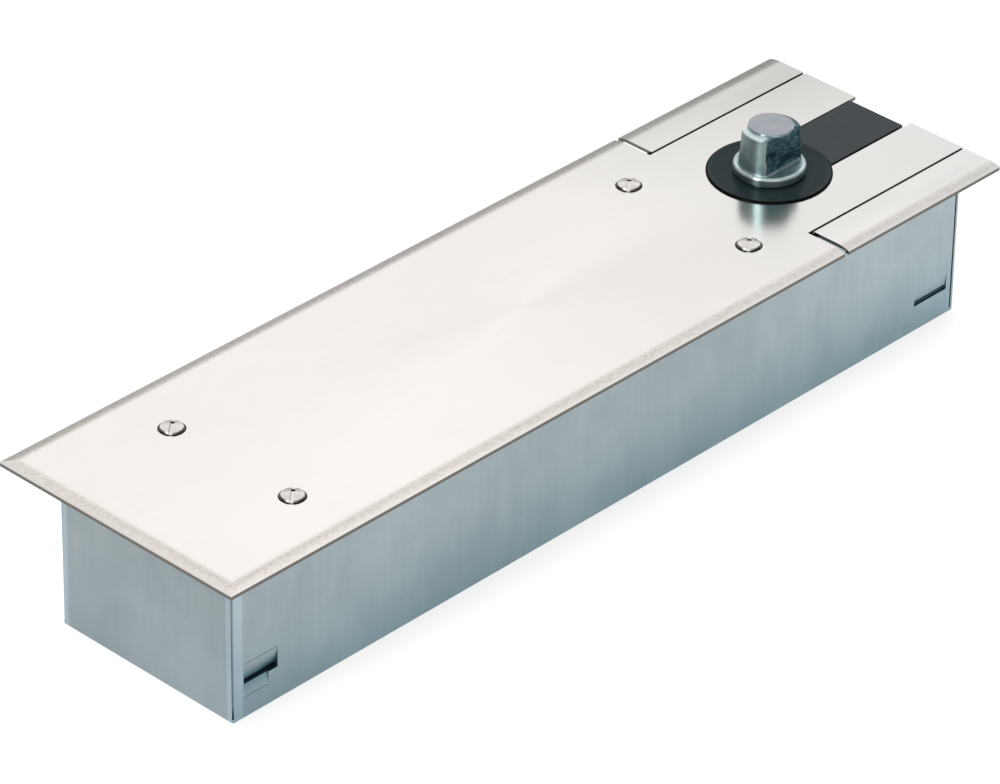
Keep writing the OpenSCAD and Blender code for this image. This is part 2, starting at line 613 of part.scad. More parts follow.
module end_plug() {
    color([0.6, 0.62, 0.64]) difference() {
        union() { xc_(-240, -226, bore_r - 0.05); xc_(-250, -236, 20); }
        difference() { xc_(-233, -229.8, 20); xc_(-234, -229, 15.5); }
        hexx(-251, -243, 14);
    }
}
module end_plug_oring() {
    color([0.1, 0.1, 0.11]) translate([-231.4, 0, zc]) rotate([0, 90, 0]) rotate_extrude() translate([16.72, 0]) circle(r = 1.18);
}

// ---- valves and plugs ----
module valve() {
    difference() {
        rotate_extrude() polygon([[0, -13.6], [0.35, -13.6], [1.15, -12.45], [1.9, -12.45], [1.9, -10],
            [3.95, -10], [3.95, -9.3], [2.9, -9.3], [2.9, -8.0], [3.95, -8.0], [3.95, -6.1], [3.5, -5.6], [0, -5.6]]);
        blk(-5, 5, -0.5, 0.5, -6.9, 0);
    }
}
module valve_oring() { rotate_extrude() translate([3.44, -8.65]) circle(r = 0.5); }
module closing_valve() { color([0.78, 0.65, 0.35]) translate([valve_x, valve_y, 0]) valve(); }
module latching_valve() { color([0.78, 0.65, 0.35]) translate([valve_x, -valve_y, 0]) valve(); }
module closing_valve_oring() { color([0.1, 0.1, 0.11]) translate([valve_x, valve_y, 0]) valve_oring(); }
module latching_valve_oring() { color([0.1, 0.1, 0.11]) translate([valve_x, -valve_y, 0]) valve_oring(); }
module gallery_plugs() {
    color([0.6, 0.61, 0.63]) for (s = [-1, 1]) {
        zc_(s > 0 ? -204 : -216, s * valve_y, -9.15, cap_z1, 2.48);
        xc_(-255.8, -251.1, 2.18, s * valve_y, -11.2);
    }
}

// ---- fixings in the box ----
module levelling_screws() {
    color([0.62, 0.63, 0.66]) for (p = level_xy) difference() {
        union() {
            zc_(p[0], p[1], floor_z + 1, -43, 4);
            cone(p[0], p[1], floor_z, floor_z + 1, 3, 4);
        }
        translate([p[0], p[1], 0]) blk(-5, 5, -0.6, 0.6, -44.8, -40);
    }
}
module weld_studs() { color([0.66, 0.68, 0.7]) for (p = stud_xy) { zc_(p[0], p[1], floor_z, -39, 3); zc_(p[0], p[1], floor_z, floor_z + 0.8, 4); } }
module hold_down_nuts() {
    color([0.62, 0.63, 0.66]) for (p = stud_xy) difference() {
        hexz(p[0], p[1], -45.6, -40.6, 10);
        zc_(p[0], p[1], -50, -30, 3.02);
    }
}
module hold_down_washers() {
    color([0.7, 0.71, 0.73]) for (p = stud_xy) difference() {
        zc_(p[0], p[1], -47, -45.6, 6);
        zc_(p[0], p[1], -50, -30, 3.2);
    }
}
module adjuster_bracket() {
    color([0.62, 0.68, 0.71]) difference() {
        union() {
            blk(-284, -265, -14, 14, floor_z, floor_z + 2.5);
            blk(-268, -265, -14, 14, floor_z, -30);
        }
        xc_(-270, -260, 4.02, 0, -40);
        for (x = [-280, -273]) zc_(x, 0, -70, -50, 1.5);
    }
}
module adjuster_screw() {
    color([0.62, 0.63, 0.66]) difference() {
        xc_(-278, -256.1, 4, 0, -40);
        blk(-280, -276.2, -0.6, 0.6, -46, -34);
    }
}
module adjuster_nut() {
    color([0.62, 0.63, 0.66]) difference() {
        hexx(-274.4, -268, 13, 0, -40);
        xc_(-280, -260, 4.02, 0, -40);
    }
}

cement_box();
cover_plate();
side_strip_front();
side_strip_back();
strip_rivets();
cover_screws();
cover_posts();
slot_insert();
spindle_ring();
body_casting();
chamber_cap();
cap_gasket();
cap_screws();
filler_plug();
upper_bearing();
lower_bearing();
shaft_seal();
thrust_washer();
thrust_pad();
spindle();
spindle_circlip();
cam_disc();
cam_key();
carriage_plate_upper();
carriage_plate_lower();
roller_pins();
rod_pin();
opening_roller();
return_roller();
pull_rod();
rod_guide_bush();
spring_seat();
spring_outer();
spring_inner();
piston();
piston_ring();
piston_nut();
check_valve_ball();
check_valve_retainer();
end_plug();
end_plug_oring();
closing_valve();
closing_valve_oring();
latching_valve();
latching_valve_oring();
gallery_plugs();
levelling_screws();
weld_studs();
hold_down_nuts();
hold_down_washers();
adjuster_bracket();
adjuster_screw();
adjuster_nut();
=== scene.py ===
import json
import math
import bpy
import bmesh
from mathutils import Vector, Matrix


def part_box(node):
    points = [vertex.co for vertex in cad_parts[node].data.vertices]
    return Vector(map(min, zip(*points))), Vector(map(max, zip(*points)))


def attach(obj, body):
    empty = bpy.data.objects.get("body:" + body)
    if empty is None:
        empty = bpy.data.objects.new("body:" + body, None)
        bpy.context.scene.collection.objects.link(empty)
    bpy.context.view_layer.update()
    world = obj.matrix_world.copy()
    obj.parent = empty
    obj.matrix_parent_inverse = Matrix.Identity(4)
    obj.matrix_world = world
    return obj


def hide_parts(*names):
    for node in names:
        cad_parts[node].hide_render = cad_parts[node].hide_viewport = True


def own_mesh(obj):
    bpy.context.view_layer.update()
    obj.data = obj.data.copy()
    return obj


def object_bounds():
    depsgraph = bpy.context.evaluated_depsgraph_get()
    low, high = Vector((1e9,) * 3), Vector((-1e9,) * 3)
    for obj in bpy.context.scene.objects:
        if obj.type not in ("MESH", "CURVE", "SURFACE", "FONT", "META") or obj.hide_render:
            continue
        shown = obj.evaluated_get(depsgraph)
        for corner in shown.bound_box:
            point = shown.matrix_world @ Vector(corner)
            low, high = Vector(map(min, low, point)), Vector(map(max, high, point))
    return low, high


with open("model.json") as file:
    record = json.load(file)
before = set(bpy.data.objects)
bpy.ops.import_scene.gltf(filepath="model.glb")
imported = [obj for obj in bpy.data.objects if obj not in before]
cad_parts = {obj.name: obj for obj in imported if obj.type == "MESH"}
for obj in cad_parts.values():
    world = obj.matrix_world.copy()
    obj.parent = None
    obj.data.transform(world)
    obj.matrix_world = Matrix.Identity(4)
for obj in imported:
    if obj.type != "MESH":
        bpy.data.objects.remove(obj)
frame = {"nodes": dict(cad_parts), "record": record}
NODES = frame["nodes"]
cad_lo, cad_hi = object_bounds()
scene = bpy.context.scene
MM = 0.001

# ------------------------------------------------------------------ camera
F_PX, AZ, EL, ROLL = 5995.8807119, -0.814015, 0.57276709, 0.01691199
TX, TY, DIST = -90.23914808, -73.95867393, 2010.09378301
ca, sa, ce, se = math.cos(AZ), math.sin(AZ), math.cos(EL), math.sin(EL)
back = Vector((sa * ce, -ca * ce, se))
right = Vector((ca, sa, 0.0))
up = back.cross(right)
r2 = math.cos(ROLL) * right + math.sin(ROLL) * up
u2 = -math.sin(ROLL) * right + math.cos(ROLL) * up
cam = bpy.data.cameras.new("camera")
cam.sensor_fit = "HORIZONTAL"
cam.sensor_width = 36.0
cam.lens = F_PX * 36.0 / 1000.0
cam.clip_start, cam.clip_end = 0.05, 50.0
cam_ob = bpy.data.objects.new("camera", cam)
scene.collection.objects.link(cam_ob)
rot = Matrix((r2, u2, back)).transposed()
cam_ob.matrix_world = Matrix.Translation((TX * r2 + TY * u2 + DIST * back) * MM) @ rot.to_4x4()
scene.camera = cam_ob
scene.view_settings.view_transform = "Standard"


# ------------------------------------------------------------------ node helpers
class Tree:
    """Small helper round a material's node tree."""

    def __init__(self, name):
        self.m = bpy.data.materials.new(name)
        self.m.use_nodes = True
        self.t = self.m.node_tree
        self.t.nodes.clear()
        self.out = self.n("ShaderNodeOutputMaterial")
        self.b = self.n("ShaderNodeBsdfPrincipled")
        self.link(self.b.outputs[0], self.out.inputs[0])
        self.coord = self.n("ShaderNodeTexCoord")

    def n(self, kind, **kw):
        node = self.t.nodes.new(kind)
        for k, v in kw.items():
            setattr(node, k, v)
        return node

    def link(self, a, b):
        self.t.links.new(a, b)

    def mapped(self, scale, rotation=(0, 0, 0), location=(0, 0, 0)):
        m = self.n("ShaderNodeMapping")
        m.inputs["Scale"].default_value = scale
        m.inputs["Rotation"].default_value = rotation
        m.inputs["Location"].default_value = location
        self.link(self.coord.outputs["Object"], m.inputs["Vector"])
        return m.outputs[0]

    def noise(self, vec, scale=1.0, detail=2.0, rough=0.5, distortion=0.0):
        x = self.n("ShaderNodeTexNoise")
        x.inputs["Scale"].default_value = scale
        x.inputs["Detail"].default_value = detail
        x.inputs["Roughness"].default_value = rough
        x.inputs["Distortion"].default_value = distortion
        self.link(vec, x.inputs["Vector"])
        return x.outputs[0]

    def ramp(self, fac, stops, interp="LINEAR"):
        r = self.n("ShaderNodeValToRGB")
        r.color_ramp.interpolation = interp
        e = r.color_ramp.elements
        while len(e) < len(stops):
            e.new(0.5)
        for el, (p, c) in zip(e, stops):
            el.position = p
            el.color = (*c, 1.0) if len(c) == 3 else c
        self.link(fac, r.inputs[0])
        return r.outputs[0]

    def rng(self, fac, a, b, c, d):
        r = self.n("ShaderNodeMapRange")
        for k, v in zip(("From Min", "From Max", "To Min", "To Max"), (a, b, c, d)):
            r.inputs[k].default_value = v
        self.link(fac, r.inputs["Value"])
        return r.outputs[0]

    def math(self, op, a, b=0.0, clamp=False):
        x = self.n("ShaderNodeMath", operation=op, use_clamp=clamp)
        for i, v in enumerate((a, b)):
            if isinstance(v, (int, float)):
                x.inputs[i].default_value = v
            else:
                self.link(v, x.inputs[i])
        return x.outputs[0]

    def mix(self, fac, a, b, blend="MIX"):
        x = self.n("ShaderNodeMix", data_type="RGBA", blend_type=blend)
        for sock, v in ((x.inputs[0], fac), (x.inputs[6], a), (x.inputs[7], b)):
            if isinstance(v, (int, float)):
                sock.default_value = v
            elif isinstance(v, tuple):
                sock.default_value = (*v, 1.0)
            else:
                self.link(v, sock)
        return x.outputs[2]

    def bump(self, height, strength, distance, normal=None):
        x = self.n("ShaderNodeBump")
        x.inputs["Strength"].default_value = strength
        x.inputs["Distance"].default_value = distance
        self.link(height, x.inputs["Height"])
        if normal is not None:
            self.link(normal, x.inputs["Normal"])
        return x.outputs[0]

    def set(self, **kw):
        for k, v in kw.items():
            s = self.b.inputs[k.replace("_", " ")]
            if isinstance(v, (int, float)):
                s.default_value = v
            elif isinstance(v, tuple):
                s.default_value = (*v, 1.0) if len(v) == 3 else v
            else:
                self.link(v, s)


def metal(name, dark, light, rough, grain_scale, grain_bump, blotch=8.0, rough_var=0.06, mix_grain=0.45):
    """Metal with a direction of grain, slow colour drift and uneven polish."""
    t = Tree(name)
    grain = t.noise(t.mapped(grain_scale), 1.0, 3.0, 0.6)
    drift = t.noise(t.mapped((blotch,) * 3), 1.0, 3.0, 0.55)
    tone = t.math("ADD", t.math("MULTIPLY", grain, mix_grain), t.math("MULTIPLY", drift, 1.0 - mix_grain))
    t.color = t.ramp(tone, [(0.36, dark), (0.64, light)])
    t.grain, t.drift, t.tone = grain, drift, tone
    t.set(Base_Color=t.color, Metallic=1.0,
          Roughness=t.rng(tone, 0.3, 0.7, rough - rough_var, rough + rough_var),
          Normal=t.bump(grain, grain_bump, 0.0004))
    return t


def upness(t):
    """1 where the surface faces straight up or down, 0 on its sides."""
    sep = t.n("ShaderNodeSeparateXYZ")
    t.link(t.coord.outputs["Normal"], sep.inputs[0])
    t.nx, t.ny, t.nz = sep.outputs
    return t.math("ABSOLUTE", sep.outputs[2])


# ------------------------------------------------------------------ materials
M = {}


def stainless(name, dark, light, rough, side_shade_colour, drift=0.0, lim=(0.45, 0.93), foot=None):
    """Satin stainless sheet, ground along its length, with duller sheared edges and painted shade on all faces that
    don't face up or down.
    """
    t = metal(name, dark, light, rough, (14, 1500, 1500), 0.010, 5.0, 0.02, 0.25)
    # fine hairlines and a few handling marks
    hair = t.ramp(t.noise(t.mapped((40, 4200, 4200)), 1.0, 1.0, 0.5), [(0.30, (0.972,) * 3), (0.46, (1.0,) * 3)])
    smudge = t.ramp(t.noise(t.mapped((22, 30, 30)), 1.0, 4.0, 0.65, 0.6), [(0.38, (0.985,) * 3), (0.62, (1.0,) * 3)])
    body = t.mix(1.0, t.mix(1.0, t.color, hair, "MULTIPLY"), smudge, "MULTIPLY")
    pos = t.n("ShaderNodeSeparateXYZ")
    t.link(t.coord.outputs["Object"], pos.inputs[0])
    if drift:
        # the sheet is a touch greyer towards the spindle end, and most of all on its back corner
        along_ = t.rng(pos.outputs[0], -0.20, 0.06, 0.0, 1.0)
        corner_ = t.math("MULTIPLY", t.rng(pos.outputs[0], -0.06, 0.05, 0.0, 1.0), t.rng(pos.outputs[1], -0.005, 0.040, 0.0, 1.0))
        body = t.mix(along_, body, t.mix(1.0, body, (0.865, 0.895, 0.91), "MULTIPLY"))
        body = t.mix(corner_, body, t.mix(1.0, body, (0.81, 0.82, 0.81), "MULTIPLY"))
        # painted shade, uneven and slightly straw-coloured, on the band where the sheet is rolled over
        up_ = upness(t)
        roll_painted_shade = t.math("MULTIPLY", t.rng(up_, 0.999, 0.995, 0.0, 1.0), t.rng(up_, 0.955, 0.972, 0.0, 1.0))
        wave = t.noise(t.mapped((650,) * 3), 1.0, 3.0, 0.6)
        body = t.mix(roll_painted_shade, body, t.mix(1.0, body, t.ramp(wave, [(0.34, (0.87, 0.85, 0.82)), (0.60, (1.0, 0.99, 0.965))]), "MULTIPLY"))
    # painted shade: faces turned away from up and down take the dark side colour
    side = t.rng(upness(t), lim[0], lim[1], 0.0, 1.0)
    if foot:
        # the painted shade is lifted on the upper part of the bevel, painting it as bright as the head
        side = t.math("MAXIMUM", side, t.math("MULTIPLY", t.rng(pos.outputs[2], foot[0], foot[1], 0.0, 1.0), 0.62))
    t.set(Base_Color=t.mix(side, side_shade_colour, body), Anisotropic=0.35)
    return t


M["stainless_cover"] = stainless("stainless_cover", (0.90, 0.857, 0.822), (0.93, 0.887, 0.852), 0.20, (0.125, 0.12, 0.105), 1.0).m
screw = stainless("stainless_screw", (0.76, 0.73, 0.70), (0.90, 0.86, 0.83), 0.26, (0.045, 0.040, 0.035), 0.0, (0.74, 0.90), (0.00025, 0.0006)).m


def galvanised():
    """Zinc-coated sheet: drawn lines up the walls, cloudy zinc, pin specks; painted shade in the lugs, low on the walls
    and high on the end faces, painted light towards the spindle end, and a painted highlight where the rear corners are
    bent.
    """
    t = metal("galvanised_sheet", (0.262, 0.318, 0.338), (0.33, 0.388, 0.408), 0.38, (300, 300, 9), 0.03, 16.0, 0.05, 0.22)
    cloud = t.ramp(t.noise(t.mapped((55, 55, 38)), 1.0, 5.0, 0.6, 0.8), [(0.34, (0.93, 0.94, 0.95)), (0.66, (1.04, 1.03, 1.02))])
    speck = t.ramp(t.noise(t.mapped((1500,) * 3), 1.0, 1.0, 0.4), [(0.24, (0.88,) * 3), (0.30, (1.0,) * 3)])
    body = t.mix(1.0, t.mix(1.0, t.color, cloud, "MULTIPLY"), speck, "MULTIPLY")
    pos = t.n("ShaderNodeSeparateXYZ")
    t.link(t.coord.outputs["Object"], pos.inputs[0])
    ay = t.math("ABSOLUTE", pos.outputs[1])
    nrm = t.n("ShaderNodeSeparateXYZ")
    t.link(t.coord.outputs["Normal"], nrm.inputs[0])
    end = t.rng(t.math("ABSOLUTE", nrm.outputs[0]), 0.9, 0.98, 0.0, 1.0)
    # painted shade on the end faces, darker towards the top under the cover's overhang
    end_face_painted_shade = t.ramp(t.rng(pos.outputs[2], -0.062, -0.012, 0.0, 1.0), [(0.0, (1.05, 1.05, 1.06)), (0.30, (0.96, 0.96, 0.96)), (0.75, (0.84, 0.83, 0.83)), (1.0, (0.80, 0.79, 0.79))])
    # painted shade on the walls towards the bottom, near the floor
    low = t.mix(t.rng(pos.outputs[2], -0.034, -0.058, 0.0, 1.0), (1.0, 1.0, 1.0), (0.77, 0.91, 0.955))
    # painted light on the walls towards the spindle end
    far_painted_light = t.mix(t.rng(pos.outputs[0], -0.075, 0.02, 0.0, 1.0), (1.0, 1.0, 1.0), (1.15, 1.15, 1.15))
    body = t.mix(t.math("SUBTRACT", 1.0, end), body, t.mix(1.0, body, t.mix(1.0, low, far_painted_light, "MULTIPLY"), "MULTIPLY"))
    body = t.mix(end, body, t.mix(1.0, body, end_face_painted_shade, "MULTIPLY"))
    # painted shade in the pressed-in lugs
    lug_painted_shade = t.math("MULTIPLY", t.rng(ay, 0.03832, 0.03745, 0.0, 1.0), t.math("SUBTRACT", 1.0, end))
    lug_painted_shade = t.math("MULTIPLY", lug_painted_shade, t.math("MULTIPLY", t.rng(pos.outputs[0], -0.2838, -0.2832, 0.0, 1.0), t.rng(pos.outputs[2], -0.0400, -0.0412, 0.0, 1.0)))
    lug_painted_shade = t.math("MULTIPLY", lug_painted_shade, t.rng(pos.outputs[2], -0.0592, -0.0588, 0.0, 1.0))
    body = t.mix(lug_painted_shade, body, t.mix(1.0, body, (0.36, 0.55, 0.61), "MULTIPLY"))
    # painted highlight on the bent rear corners
    bend_painted_highlight = t.math("MULTIPLY", t.rng(pos.outputs[0], -0.2832, -0.2826, 1.0, 0.0), t.rng(ay, 0.0354, 0.0359, 0.0, 1.0))
    body = t.mix(bend_painted_highlight, body, t.mix(1.0, body, (1.20, 1.23, 1.27), "MULTIPLY"))
    t.set(Base_Color=body)
    return t.m


M["galvanised_sheet"] = galvanised()


def spindle_steel():
    """Bright zinc over turned steel: end face, milled flats and cone each with their own tooling marks; a painted
    reflection on the flats, painted shade and a painted highlight on the shoulder, and a painted highlight on the
    flange.
    """
    t = Tree("zinc_plated_spindle")
    up_ = upness(t)
    pos = t.n("ShaderNodeSeparateXYZ")
    t.link(t.coord.outputs["Object"], pos.inputs[0])
    rings = t.noise(t.mapped((60, 60, 3800)), 1.0, 2.0, 0.6)
    cloud = t.noise(t.mapped((260,) * 3), 1.0, 4.0, 0.6)
    base = t.ramp(cloud, [(0.36, (0.31, 0.42, 0.435)), (0.64, (0.41, 0.52, 0.535))])
    base = t.mix(1.0, base, t.ramp(rings, [(0.35, (0.92,) * 3), (0.6, (1.0,) * 3)]), "MULTIPLY")
    # end face: greyer, slightly violet
    end = t.math("MULTIPLY", t.rng(pos.outputs[2], 0.01805, 0.0182, 0.0, 1.0), t.rng(up_, 0.9, 0.98, 0.0, 1.0))
    end_col = t.ramp(cloud, [(0.36, (0.385, 0.41, 0.445)), (0.66, (0.43, 0.455, 0.485))])
    # milled flats: a painted dark blue-green reflection of the black ring, mottled, and the same mottle bumps them as
    # cutter marks
    flat = t.math("MULTIPLY", t.rng(t.math("ABSOLUTE", t.ny), 0.94, 0.985, 0.0, 1.0), t.rng(pos.outputs[2], 0.0041, 0.0043, 0.0, 1.0))
    flat = t.math("MULTIPLY", flat, t.rng(t.math("ABSOLUTE", pos.outputs[1]), 0.0075, 0.0077, 1.0, 0.0))
    mott = t.noise(t.mapped((330, 330, 420)), 1.0, 5.0, 0.65, 1.4)
    flat_painted_reflection = t.ramp(mott, [(0.38, (0.026, 0.088, 0.115)), (0.50, (0.075, 0.19, 0.23)), (0.62, (0.20, 0.40, 0.44))])
    col = t.mix(end, base, end_col)
    col = t.mix(flat, col, flat_painted_reflection)
    # sloping shoulder under the end face: painted shade all round, with a painted highlight on its front-left part
    ledge = t.math("MULTIPLY", t.rng(pos.outputs[2], 0.0166, 0.0168, 0.0, 1.0), t.rng(pos.outputs[2], 0.0176, 0.0178, 1.0, 0.0))
    ledge = t.math("MULTIPLY", ledge, t.rng(up_, 0.55, 0.72, 0.0, 1.0))
    col = t.mix(ledge, col, (0.15, 0.25, 0.28))
    ledge_painted_highlight = t.math("MULTIPLY", t.rng(pos.outputs[0], -0.0015, -0.0035, 0.0, 1.0), t.rng(pos.outputs[1], -0.0050, -0.0038, 0.0, 1.0))
    col = t.mix(t.math("MULTIPLY", ledge, ledge_painted_highlight), col, (0.70, 0.80, 0.81))
    # painted highlight on the outer part of the flange's top
    r = t.math("POWER", t.math("ADD", t.math("MULTIPLY", pos.outputs[0], pos.outputs[0]), t.math("MULTIPLY", pos.outputs[1], pos.outputs[1])), 0.5)
    flange_rim_painted_highlight = t.math("MULTIPLY", t.rng(r, 0.0109, 0.0114, 0.0, 1.0), t.math("MULTIPLY", t.rng(pos.outputs[2], 0.0029, 0.0033, 0.0, 1.0), t.rng(pos.outputs[2], 0.0043, 0.0045, 1.0, 0.0)))
    col = t.mix(flange_rim_painted_highlight, col, (0.66, 0.78, 0.79))
    h = t.math("ADD", t.math("MULTIPLY", rings, 0.25), t.math("MULTIPLY", t.math("MULTIPLY", mott, flat), 2.2))
    tan = t.n("ShaderNodeTangent", direction_type="RADIAL", axis="Z")
    t.link(tan.outputs[0], t.b.inputs["Tangent"])
    smooth = t.math("SUBTRACT", 1.0, t.math("MAXIMUM", t.math("MAXIMUM", end, ledge), flat))
    t.set(Base_Color=col, Metallic=1.0, Roughness=0.27, Anisotropic=t.math("MULTIPLY", smooth, 0.97), Anisotropic_Rotation=0.25,
          Normal=t.bump(h, 0.10, 0.00025))
    return t.m


M["zinc_plated_spindle"] = spindle_steel()
M["zinc_fixings"] = metal("zinc_fixings", (0.50, 0.52, 0.53), (0.64, 0.65, 0.66), 0.3, (600, 600, 600), 0.08, 60.0).m
M["machined_steel"] = metal("machined_steel", (0.42, 0.42, 0.43), (0.56, 0.56, 0.57), 0.28, (900, 60, 900), 0.1, 20.0).m
M["hardened_steel"] = metal("hardened_steel", (0.55, 0.55, 0.56), (0.68, 0.68, 0.69), 0.16, (200, 200, 1500), 0.05, 40.0).m
M["bronze"] = metal("bronze", (0.50, 0.32, 0.13), (0.66, 0.46, 0.22), 0.3, (300, 300, 1200), 0.08, 60.0).m
M["spring_steel"] = metal("spring_steel", (0.05, 0.055, 0.06), (0.12, 0.125, 0.13), 0.35, (900, 900, 900), 0.1, 60.0).m


def polymer(name, c0, c1, rough, grain=2500.0, bump=0.08, metallic=0.0, specular=0.5):
    t = Tree(name)
    fine = t.noise(t.mapped((grain,) * 3), 1.0, 2.0, 0.6)
    slow = t.noise(t.mapped((60.0,) * 3), 1.0, 3.0, 0.6)
    scuff = t.noise(t.mapped((700.0, 160.0, 700.0), (0.0, 0.0, 0.6)), 1.0, 4.0, 0.7)
    t.set(Base_Color=t.mix(t.rng(scuff, 0.56, 0.70, 0.0, 0.35), t.ramp(slow, [(0.35, c0), (0.68, c1)]),
                           tuple(min(1.0, v * 1.7) for v in c1)), Metallic=metallic,
          Roughness=t.rng(slow, 0.3, 0.7, rough - 0.06, rough + 0.06),
          Normal=t.bump(fine, bump, 0.0003))
    t.set(Specular_IOR_Level=specular)
    return t


M["black_polymer"] = polymer("black_polymer", (0.016, 0.021, 0.023), (0.023, 0.029, 0.032), 0.36, specular=0.22).m


def black_ring():
    """Ring round the spindle: a painted highlight along the raised lip, and painted shade on its outer side."""
    t = polymer("black_polymer_ring", (0.006, 0.012, 0.013), (0.009, 0.016, 0.018), 0.25, bump=0.03, specular=0.07)
    pos = t.n("ShaderNodeSeparateXYZ")
    t.link(t.coord.outputs["Object"], pos.inputs[0])
    r = t.math("POWER", t.math("ADD", t.math("MULTIPLY", pos.outputs[0], pos.outputs[0]), t.math("MULTIPLY", pos.outputs[1], pos.outputs[1])), 0.5)
    slow = t.ramp(t.noise(t.mapped((60.0,) * 3), 1.0, 3.0, 0.6), [(0.35, (0.009, 0.0155, 0.017)), (0.68, (0.0125, 0.0205, 0.0225))])
    # painted shade on the outer side of the ring, painted highlight along the raised lip
    side = t.rng(r, 0.02055, 0.02090, 0.0, 1.0)
    bead_painted_highlight = t.math("MULTIPLY", t.rng(r, 0.0193, 0.0199, 0.0, 1.0), t.rng(r, 0.0204, 0.0206, 1.0, 0.0))
    t.set(Base_Color=t.mix(side, t.mix(bead_painted_highlight, slow, (0.018, 0.027, 0.029)), (0.001, 0.0015, 0.0015)))
    return t.m


ring_black = black_ring()
M["seal_rubber"] = polymer("seal_rubber", (0.012, 0.012, 0.012), (0.02, 0.02, 0.02), 0.55).m
M["seal_ptfe"] = polymer("seal_ptfe", (0.66, 0.63, 0.55), (0.76, 0.73, 0.64), 0.4).m
M["gasket_fibre"] = polymer("gasket_fibre", (0.10, 0.12, 0.10), (0.16, 0.18, 0.15), 0.85, 900.0, 0.4).m
M["cast_body"] = polymer("cast_body", (0.16, 0.17, 0.175), (0.22, 0.23, 0.235), 0.5, 700.0, 0.5, 0.4).m

SLOT = {s["node"]: s["material_slot"] for s in frame["record"]["subparts"]}
SPECIAL = {"cover_screws": screw, "spindle_ring": ring_black}
for n, ob in NODES.items():
    ob.data.materials.clear()
    ob.data.materials.append(SPECIAL.get(n, M[SLOT[n]]))


def soften(node, width, segments=2, angle=28.0):
    """Small rounded edges on a CAD piece, so that they catch the light."""
    ob = NODES[node]
    b = ob.modifiers.new("edges", "BEVEL")
    b.width = width * MM
    b.segments = segments
    b.limit_method = "ANGLE"
    b.angle_limit = math.radians(angle)
    b.harden_normals = False
    b.use_clamp_overlap = True


for n, w in (("cover_plate", 0.10), ("side_strip_front", 0.16), ("side_strip_back", 0.16), ("slot_insert", 0.2),
             ("cover_screws", 0.12), ("cement_box", 0.12), ("strip_rivets", 0.25)):
    soften(n, w)


# ------------------------------------------------------------------ springs
def coil(name, x0, x1, mr, wr, turns, zc, seg, k):
    """Round wire on a helix along X with closed ends, capped flat where the wire stops."""
    e = 2.12 * wr
    p = (x1 - x0 - 2 * wr - 2 * e) / (turns - 2)

    def along(u):
        if u < 1:
            return e * u
        if u > turns - 1:
            return e + p * (turns - 2) + e * (u - turns + 1)
        return e + p * (u - 1)

    bm = bmesh.new()
    rings = []
    n = turns * seg
    for i in range(n + 1):
        a = 2 * math.pi * i / seg
        cx = x0 + wr + along(i / seg)
        ring = []
        for j in range(k):
            b = 2 * math.pi * j / k
            rr = mr + wr * math.cos(b)
            ring.append(bm.verts.new(((cx + wr * math.sin(b)) * MM, rr * math.cos(a) * MM, (zc + rr * math.sin(a)) * MM)))
        rings.append(ring)
    for a, b in zip(rings, rings[1:]):
        for j in range(k):
            q = (j + 1) % k
            bm.faces.new((a[j], b[j], b[q], a[q]))
    bm.faces.new(rings[0])
    bm.faces.new(list(reversed(rings[-1])))
    bmesh.ops.recalc_face_normals(bm, faces=bm.faces)
    me = bpy.data.meshes.new(name)
    bm.to_mesh(me)
    bm.free()
    for f in me.polygons:
        f.use_smooth = len(f.vertices) == 4
    ob = bpy.data.objects.new(name, me)
    scene.collection.objects.link(ob)
    me.materials.append(M["spring_steel"])
    return ob


for node, mr, wr, turns, seg, k in (("spring_outer", 14.0, 2.2, 9, 48, 14), ("spring_inner", 9.0, 1.3, 13, 40, 12)):
    blo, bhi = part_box(node)
    ob = coil(node + "_wire", blo[0] / MM, bhi[0] / MM, mr, wr, turns, -31.0, seg, k)
    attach(ob, "floor_box")
    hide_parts(node)
    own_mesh(ob)

# ------------------------------------------------------------------ room
def plane(name, size, loc, material):
    me = bpy.data.meshes.new(name)
    bm = bmesh.new()
    bmesh.ops.create_grid(bm, x_segments=1, y_segments=1, size=size)
    bm.to_mesh(me)
    bm.free()
    ob = bpy.data.objects.new(name, me)
    ob.location = loc
    me.materials.append(material)
    scene.collection.objects.link(ob)
    return ob


t = Tree("floor")
t.set(Base_Color=(0.36, 0.36, 0.36), Roughness=0.9, Emission_Color=(1.0, 1.0, 1.0), Emission_Strength=0.72)
t.b.inputs["Specular IOR Level"].default_value = 0.1
floor = plane("floor", 8.0, (0.0, 0.0, cad_lo.z - 0.0001), t.m)

world = bpy.data.worlds.new("studio")
scene.world = world
world.use_nodes = True
wt = world.node_tree
bg = wt.nodes["Background"]


def wn(kind, **kw):
    n = wt.nodes.new(kind)
    for k, v in kw.items():
        setattr(n, k, v)
    return n


def wmath(op, a, b=0.0):
    n = wn("ShaderNodeMath", operation=op)
    for i, v in enumerate((a, b)):
        if isinstance(v, (int, float)):
            n.inputs[i].default_value = v
        else:
            wt.links.new(v, n.inputs[i])
    return n.outputs[0]


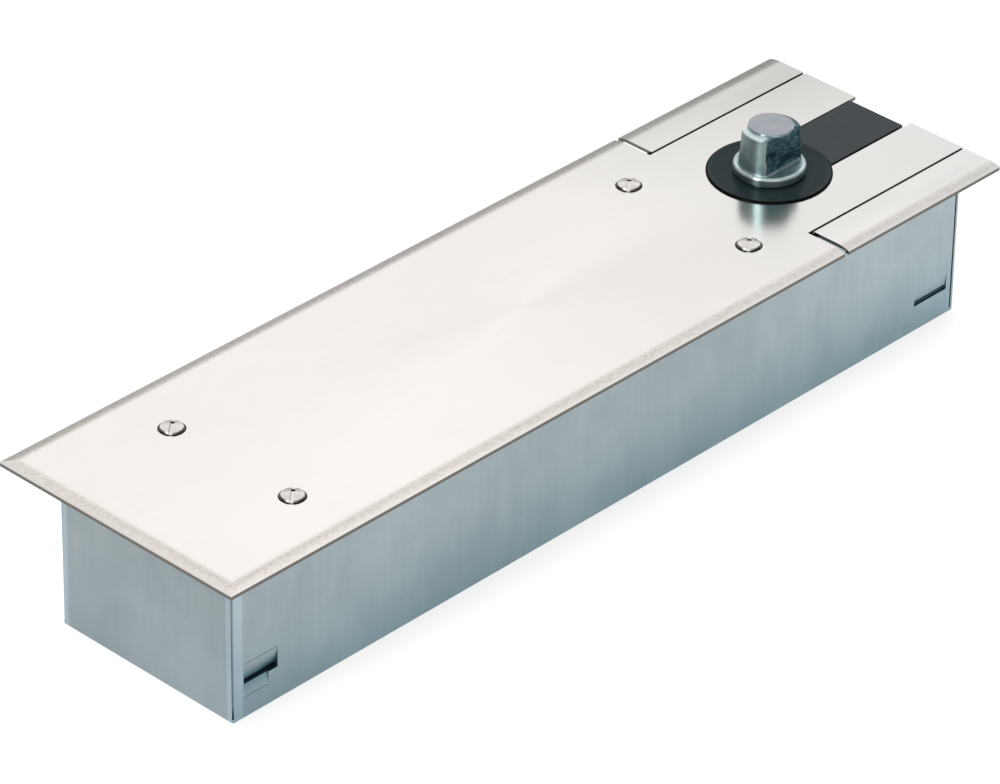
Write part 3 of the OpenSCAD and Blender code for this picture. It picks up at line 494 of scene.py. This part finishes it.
# a band of light round the room at 27 to 38 degrees up, brighter on two sides, quieter on the other two
wc = wn("ShaderNodeTexCoord")
ws = wn("ShaderNodeSeparateXYZ")
wt.links.new(wc.outputs["Generated"], ws.inputs[0])
band = wn("ShaderNodeValToRGB")
stops = [(0.0, 0.62), (0.30, 0.55), (0.50, 0.40), (0.587, 0.40), (0.646, 0.43), (0.687, 0.50), (0.712, 0.66), (0.735, 0.95),
         (0.755, 1.07), (0.785, 1.07), (0.805, 0.94), (0.825, 0.72), (0.85, 0.66), (0.87, 0.80), (0.89, 0.98), (0.95, 0.92),
         (0.98, 0.70), (1.0, 0.68)]
be = band.color_ramp.elements
while len(be) < len(stops):
    be.new(0.5)
for el, (p, v) in zip(be, stops):
    el.position = p
    el.color = (v, v, v, 1.0)
wt.links.new(wmath("ADD", wmath("MULTIPLY", ws.outputs[2], 0.5), 0.5), band.inputs[0])
hx = wmath("ADD", wmath("MULTIPLY", ws.outputs[0], 0.80), wmath("MULTIPLY", ws.outputs[1], 0.60))
hh = wmath("ADD", wmath("MULTIPLY", ws.outputs[0], ws.outputs[0]), wmath("MULTIPLY", ws.outputs[1], ws.outputs[1]))
az2 = wmath("DIVIDE", wmath("MULTIPLY", hx, hx), wmath("MAXIMUM", hh, 0.02))
side = wn("ShaderNodeMapRange")
side.interpolation_type = "SMOOTHSTEP"
for k, v in zip(("From Min", "From Max", "To Min", "To Max"), (0.12, 0.80, 0.40, 1.0)):
    side.inputs[k].default_value = v
wt.links.new(az2, side.inputs["Value"])
# overhead and below, the direction round the room stops mattering
fade = wn("ShaderNodeMapRange")
for k, v in zip(("From Min", "From Max", "To Min", "To Max"), (0.75, 0.97, 0.0, 1.0)):
    fade.inputs[k].default_value = v
wt.links.new(wmath("ABSOLUTE", ws.outputs[2]), fade.inputs["Value"])
level = wn("ShaderNodeMix", data_type="FLOAT")
wt.links.new(fade.outputs[0], level.inputs[0])
wt.links.new(side.outputs[0], level.inputs[2])
level.inputs[3].default_value = 0.85
tint = wn("ShaderNodeMix", data_type="RGBA", blend_type="MULTIPLY")
tint.inputs[0].default_value = 1.0
wt.links.new(band.outputs[0], tint.inputs[6])
wt.links.new(level.outputs[0], tint.inputs[7])
wt.links.new(tint.outputs[2], bg.inputs[0])
bg.inputs[1].default_value = 1.08


def area(name, loc, target, size, size_y, power, color=(1, 1, 1)):
    li = bpy.data.lights.new(name, "AREA")
    li.shape = "RECTANGLE"
    li.size, li.size_y = size, size_y
    li.energy = power
    li.color = color
    ob = bpy.data.objects.new(name, li)
    scene.collection.objects.link(ob)
    d = Vector(target) - Vector(loc)
    ob.matrix_world = Matrix.Translation(loc) @ d.to_track_quat("-Z", "Y").to_matrix().to_4x4()
    return ob


# not mirrored, or the cover would burn out when it is seen from above
area("overhead", (-0.12, 0.1, 2.2), (-0.12, 0, 0), 1.6, 1.2, 46).visible_glossy = False
strip_lamp = area("left_strip", (-1.55, -0.05, 0.75), (0, 0, 0.0), 0.50, 1.0, 8.5)
# the flat plates don't mirror the strip lamp, which would burn them out at low angles from the spindle end
flats = bpy.data.collections.new("plates_not_lit_by_strip")
for n in ("cover_plate", "side_strip_front", "side_strip_back"):
    flats.objects.link(NODES[n])
strip_lamp.light_linking.receiver_collection = flats
for entry in flats.collection_objects:
    entry.light_linking.link_state = "EXCLUDE"
